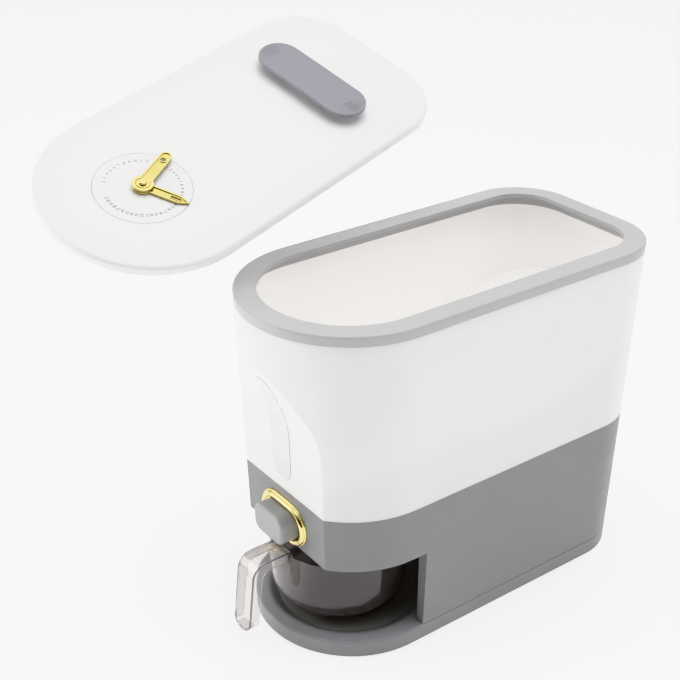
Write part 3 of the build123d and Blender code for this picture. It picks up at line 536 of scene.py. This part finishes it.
dialSetup = {
    "centre": (0, -104.5), "top": 11.0,
    "ringRadius": 32.1, "raised": 0.06, "narrow": 0.72, "weld": 0.001,
    "months": {"Count": 12, "First": -133.0, "Step": -8.7, "Size": 4.2 * mm},
    "days": {"Count": 31, "First": 106.0, "Step": -7.13, "Size": 4.2 * mm},
}


# numbers from 1 to Count, set around a ring
def figureTree():
    tree, given, out = newTree("dialRing", (
        ("Count", "Int"), ("First", "Float"), ("Step", "Float"), ("Radius", "Float"),
        ("Size", "Float"), ("Narrow", "Float"), ("Raised", "Float"), ("Weld", "Float"),
        ("Material", "Material")))
    nodes, links = tree.nodes, tree.links
    start = nodes.new("GeometryNodeRepeatInput")
    end = nodes.new("GeometryNodeRepeatOutput")
    start.pair_with_output(end)
    links.new(given.outputs["Count"], start.inputs["Iterations"])
    number = mathNode(tree, "ADD", start.outputs["Iteration"], 1.0)
    asText = nodes.new("FunctionNodeValueToString")
    links.new(number, asText.inputs["Value"])
    text = nodes.new("GeometryNodeStringToCurves")
    text.align_x = "CENTER"
    text.align_y = "MIDDLE"
    links.new(asText.outputs["String"], text.inputs["String"])
    links.new(given.outputs["Size"], text.inputs["Size"])
    curves = nodes.new("GeometryNodeRealizeInstances")
    links.new(text.outputs["Curve Instances"], curves.inputs["Geometry"])
    fill = nodes.new("GeometryNodeFillCurve")
    links.new(curves.outputs["Geometry"], fill.inputs["Curve"])
    raise_ = nodes.new("GeometryNodeExtrudeMesh")
    raise_.inputs["Individual"].default_value = False
    links.new(fill.outputs["Mesh"], raise_.inputs["Mesh"])
    links.new(given.outputs["Raised"], raise_.inputs["Offset Scale"])
    under = nodes.new("GeometryNodeFlipFaces")
    links.new(fill.outputs["Mesh"], under.inputs["Mesh"])
    solid = nodes.new("GeometryNodeJoinGeometry")
    links.new(under.outputs["Mesh"], solid.inputs["Geometry"])
    links.new(raise_.outputs["Mesh"], solid.inputs["Geometry"])
    weld = nodes.new("GeometryNodeMergeByDistance")
    links.new(given.outputs["Weld"], weld.inputs["Distance"])
    links.new(solid.outputs["Geometry"], weld.inputs["Geometry"])
    outward = nodes.new("GeometryNodeTransform")
    outward.inputs["Rotation"].default_value = (0, 0, -pi / 2)
    shift = nodes.new("ShaderNodeCombineXYZ")
    links.new(given.outputs["Radius"], shift.inputs["X"])
    links.new(shift.outputs["Vector"], outward.inputs["Translation"])
    squeeze = nodes.new("ShaderNodeCombineXYZ")
    squeeze.inputs["Y"].default_value = 1.0
    squeeze.inputs["Z"].default_value = 1.0
    links.new(given.outputs["Narrow"], squeeze.inputs["X"])
    links.new(squeeze.outputs["Vector"], outward.inputs["Scale"])
    links.new(weld.outputs["Geometry"], outward.inputs["Geometry"])
    degrees = mathNode(tree, "ADD", given.outputs["First"],
                       mathNode(tree, "MULTIPLY", start.outputs["Iteration"], given.outputs["Step"]))
    angle = nodes.new("ShaderNodeCombineXYZ")
    links.new(mathNode(tree, "RADIANS", degrees), angle.inputs["Z"])
    around = nodes.new("GeometryNodeTransform")
    links.new(angle.outputs["Vector"], around.inputs["Rotation"])
    links.new(outward.outputs["Geometry"], around.inputs["Geometry"])
    join = nodes.new("GeometryNodeJoinGeometry")
    links.new(start.outputs["Geometry"], join.inputs["Geometry"])
    links.new(around.outputs["Geometry"], join.inputs["Geometry"])
    links.new(join.outputs["Geometry"], end.inputs["Geometry"])
    realize = nodes.new("GeometryNodeRealizeInstances")
    paint = nodes.new("GeometryNodeSetMaterial")
    links.new(end.outputs["Geometry"], realize.inputs["Geometry"])
    links.new(realize.outputs["Geometry"], paint.inputs["Geometry"])
    links.new(given.outputs["Material"], paint.inputs["Material"])
    links.new(paint.outputs["Geometry"], out.inputs["Mesh"])
    return tree


def buildFigures(s):
    tree = figureTree()
    place = lidFrame @ Matrix.Translation((s["centre"][0] * mm, s["centre"][1] * mm, s["top"] * mm))
    common = {"Radius": s["ringRadius"] * mm, "Raised": s["raised"] * mm, "Narrow": s["narrow"],
              "Weld": s["weld"] * mm, "Material": looks["figures"]}
    for name, group in (("monthFigures", s["months"]), ("dayFigures", s["days"])):
        mesh = bakeTree(tree, bpy.data.meshes.new(name), {**common, **group})
        mesh.transform(place)
        addPiece(name, mesh, "lid", "figures")


buildFigures(dialSetup)
print("dial figures built")


handSetup = {
    "date_hand": {"angle": 108.0, "level": 14.0, "length": 39.0, "root": 5.6, "tip": 5.2,
                  "point": 0.0, "hole": (34.0, 2.4, 2.4)},
    "month_hand": {"angle": 21.0, "level": 11.4, "length": 42.0, "root": 4.4, "tip": 4.4,
                   "point": 9.0, "hole": (30.0, 5.0, 1.1)},
    "thick": 2.2, "eye": 9.0, "bore": 2.05, "border": 1.5, "floor": 1.2, "pinCentre": (0, -104.5),
    "floorEdge": 0.25, "overlap": 0.3,
    "borderEye": 1.2, "borderEdge": 0.45,
    "collar": (3.4, 6.0), "collarEdge": 0.4,
    "holeRim": 0.9, "holeRimDrop": 0.3, "holeRimEdge": 0.25,
    "circle": 0.001,
}


# a hand seen from above: round the eye, then out to its round or pointed tip
def handOutline(h, eye, inset):
    root, tip, length = h["root"] - inset, h["tip"] - inset, h["length"]
    eye -= inset
    start = acos(min(root / eye, 1.0))
    points = []
    for k in range(41):
        a = pi / 2 - start + (tau - 2 * (pi / 2 - start)) * k / 40
        points.append((eye * cos(a), eye * sin(a)))
    if h["point"]:
        points += [(length - h["point"], -tip), (length - inset * 1.4, 0), (length - h["point"], tip)]
    else:
        for k in range(17):
            a = -pi / 2 + pi * k / 16
            points.append((length + tip * cos(a), tip * sin(a)))
    return points


# a slot with round ends; as long as it is wide, it is a circle
def slotLoop(x, halfLong, halfWide, steps=12):
    points = []
    straight = halfLong - halfWide
    for sign, start in ((1, -90), (-1, 90)):
        for k in range(steps + 1):
            a = radians(start + 180 * k / steps)
            points.append((x + sign * straight + halfWide * cos(a), halfWide * sin(a)))
    return points


# a flat plate inside the first loop, less the other loops, with its edges rounded
def plateMesh(loops, low, high, bevel):
    curve = bpy.data.curves.new("plate", "CURVE")
    curve.dimensions = "2D"
    curve.fill_mode = "BOTH"
    curve.extrude = ((high - low) / 2 - bevel) * mm
    curve.bevel_depth = bevel * mm
    curve.bevel_resolution = 2
    curve.offset = -bevel * mm
    for loop in loops:
        spline = curve.splines.new("POLY")
        spline.points.add(len(loop) - 1)
        for point, (x, y) in zip(spline.points, loop):
            point.co = (x * mm, y * mm, 0, 1)
        spline.use_cyclic_u = True
    obj = bpy.data.objects.new("plate", curve)
    bpy.context.scene.collection.objects.link(obj)
    mesh = bpy.data.meshes.new_from_object(obj)
    bpy.data.objects.remove(obj)
    bpy.data.curves.remove(curve)
    mesh.transform(Matrix.Translation((0, 0, (low + high) / 2 * mm)))
    return mesh


# one mesh from several, where each brings the number of its finish
def joinMeshes(name, parts):
    verts, faces, finishes = [], [], []
    for mesh, finish in parts:
        base = len(verts)
        verts += [v.co.copy() for v in mesh.vertices]
        faces += [tuple(base + i for i in p.vertices) for p in mesh.polygons]
        finishes += [finish] * len(mesh.polygons)
        bpy.data.meshes.remove(mesh)
    joined = bpy.data.meshes.new(name)
    joined.from_pydata(verts, [], faces)
    joined.polygons.foreach_set("material_index", finishes)
    return joined


def buildHand(name, h, s):
    holeX, holeLong, holeWide = h["hole"]
    low = s["floor"] - s["overlap"]
    bore = slotLoop(0, s["bore"] + s["circle"], s["bore"], 16)
    hole = slotLoop(*h["hole"])
    outer = handOutline(h, s["eye"], 0)
    inner = handOutline(h, s["eye"] - s["borderEye"], s["border"])
    base = plateMesh([outer, bore, hole], 0, s["floor"], s["floorEdge"])
    border = plateMesh([outer, inner], low, s["thick"], s["borderEdge"])
    collarRadii = [s["eye"] - inward for inward in s["collar"]]
    collarLoops = [slotLoop(0, radius + s["circle"], radius, 20) for radius in collarRadii]
    collar = plateMesh(collarLoops, low, s["thick"], s["collarEdge"])
    holeLoop = slotLoop(holeX, holeLong + s["holeRim"], holeWide + s["holeRim"])
    rim = plateMesh([holeLoop, hole], low, s["thick"] - s["holeRimDrop"], s["holeRimEdge"])
    mesh = joinMeshes(name + "Gold", [(base, 1), (border, 0), (collar, 0), (rim, 0)])
    pinX, pinY = s["pinCentre"]
    place = lidFrame @ Matrix.Translation((pinX * mm, pinY * mm, h["level"] * mm))
    mesh.transform(place @ Matrix.Rotation(radians(h["angle"]), 4, "Z"))
    finishes = [face.material_index for face in mesh.polygons]
    hand = addPiece(name.replace("_", "") + "Gold", mesh, name, "goldHandShaded", 40, (name,))
    mesh.materials.append(looks["goldSatin"])
    mesh.polygons.foreach_set("material_index", finishes)
    return hand


for handName in ("date_hand", "month_hand"):
    buildHand(handName, handSetup[handName], handSetup)
print("hands built")


stageSetup = {
    "floor": 200.0, "floorColour": (0.93, 0.93, 0.93), "floorGlow": 0.5,
    "backdrop": 0.95, "worldBright": 0.82, "worldDim": 0.04,
    "dimStart": 0.2, "dimFull": 0.9, "dimTowards": (0.80, -0.60, 0.0),
}


def addFloor(s):
    half = s["floor"] / 2
    mesh = bpy.data.meshes.new("stageFloor")
    corners = [(-half, -half, 0), (half, -half, 0), (half, half, 0), (-half, half, 0)]
    mesh.from_pydata(corners, [], [(0, 1, 2, 3)])
    floor = bpy.data.objects.new("stageFloor", mesh)
    bpy.context.scene.collection.objects.link(floor)
    glow = {"Emission Color": (1, 1, 1, 1), "Emission Strength": s["floorGlow"]}
    mesh.materials.append(plastic("paleFloor", s["floorColour"], 0.8, grain=0.1, grainSize=2.0,
                                  cloud=0.004, edge=0.0, extra=glow))
    return floor


# a white room, dimmer on the photographer's side, with a pale backdrop behind the floor's far edge
def addWorld(s):
    world = bpy.data.worlds.new("studioWorld")
    bpy.context.scene.world = world
    world.use_nodes = True
    nodes, links = world.node_tree.nodes, world.node_tree.links
    coords = nodes.new("ShaderNodeTexCoord")
    facing = nodes.new("ShaderNodeVectorMath")
    facing.operation = "DOT_PRODUCT"
    facing.inputs[1].default_value = s["dimTowards"]
    links.new(coords.outputs["Generated"], facing.inputs[0])
    remap = nodes.new("ShaderNodeMapRange")
    remap.interpolation_type = "SMOOTHSTEP"
    remap.inputs["From Min"].default_value = s["dimStart"]
    remap.inputs["From Max"].default_value = s["dimFull"]
    remap.inputs["To Min"].default_value = s["worldBright"]
    remap.inputs["To Max"].default_value = s["worldDim"]
    links.new(facing.outputs["Value"], remap.inputs["Value"])
    path = nodes.new("ShaderNodeLightPath")
    backdrop = nodes.new("ShaderNodeMath")
    backdrop.operation = "MULTIPLY"
    backdrop.inputs[1].default_value = s["backdrop"]
    links.new(path.outputs["Is Camera Ray"], backdrop.inputs[0])
    brighter = nodes.new("ShaderNodeMath")
    brighter.operation = "MAXIMUM"
    links.new(remap.outputs["Result"], brighter.inputs[0])
    links.new(backdrop.outputs["Value"], brighter.inputs[1])
    links.new(brighter.outputs["Value"], nodes["Background"].inputs["Strength"])
    nodes["Background"].inputs["Color"].default_value = (1, 1, 1, 1)


lightSetup = {
    "topSoftbox": {"place": (0.1, 0.1, 1.8), "target": (0, 0, 0.3), "size": (1.6, 1.6), "power": 16},
    "frontSoftbox": {"place": (-1.4, -1.7, 0.9), "target": (0, -0.1, 0.2), "size": (1.0, 1.4),
                     "power": 18},
}


def addLight(name, place, target, size, power):
    data = bpy.data.lights.new(name, "AREA")
    data.shape = "RECTANGLE"
    data.size, data.size_y = size
    data.energy = power
    light = bpy.data.objects.new(name, data)
    bpy.context.scene.collection.objects.link(light)
    light.location = place
    light.rotation_euler = (Vector(target) - Vector(place)).to_track_quat("-Z", "Y").to_euler()
    light.visible_camera = False
    return light


addFloor(stageSetup)
addWorld(stageSetup)
for lightName, light in lightSetup.items():
    addLight(lightName, **light)
bpy.context.scene.view_settings.view_transform = "Khronos PBR Neutral"

cameraSetup = {"place": (0.7560, -0.6654, 0.7633), "azimuth": 53.45, "elevation": 27.58,
               "roll": 0.20, "lens": 67.4, "sensor": 36.0}


def addCamera(s):
    data = bpy.data.cameras.new("photoCamera")
    data.lens = s["lens"]
    data.sensor_width = s["sensor"]
    camera = bpy.data.objects.new("photoCamera", data)
    bpy.context.scene.collection.objects.link(camera)
    turn = Matrix.Rotation(radians(s["azimuth"]), 4, "Z")
    turn @= Matrix.Rotation(radians(90 - s["elevation"]), 4, "X")
    turn @= Matrix.Rotation(radians(s["roll"]), 4, "Z")
    camera.matrix_world = Matrix.Translation(s["place"]) @ turn
    bpy.context.scene.camera = camera
    return camera


addCamera(cameraSetup)
print("stage, lights and camera set")
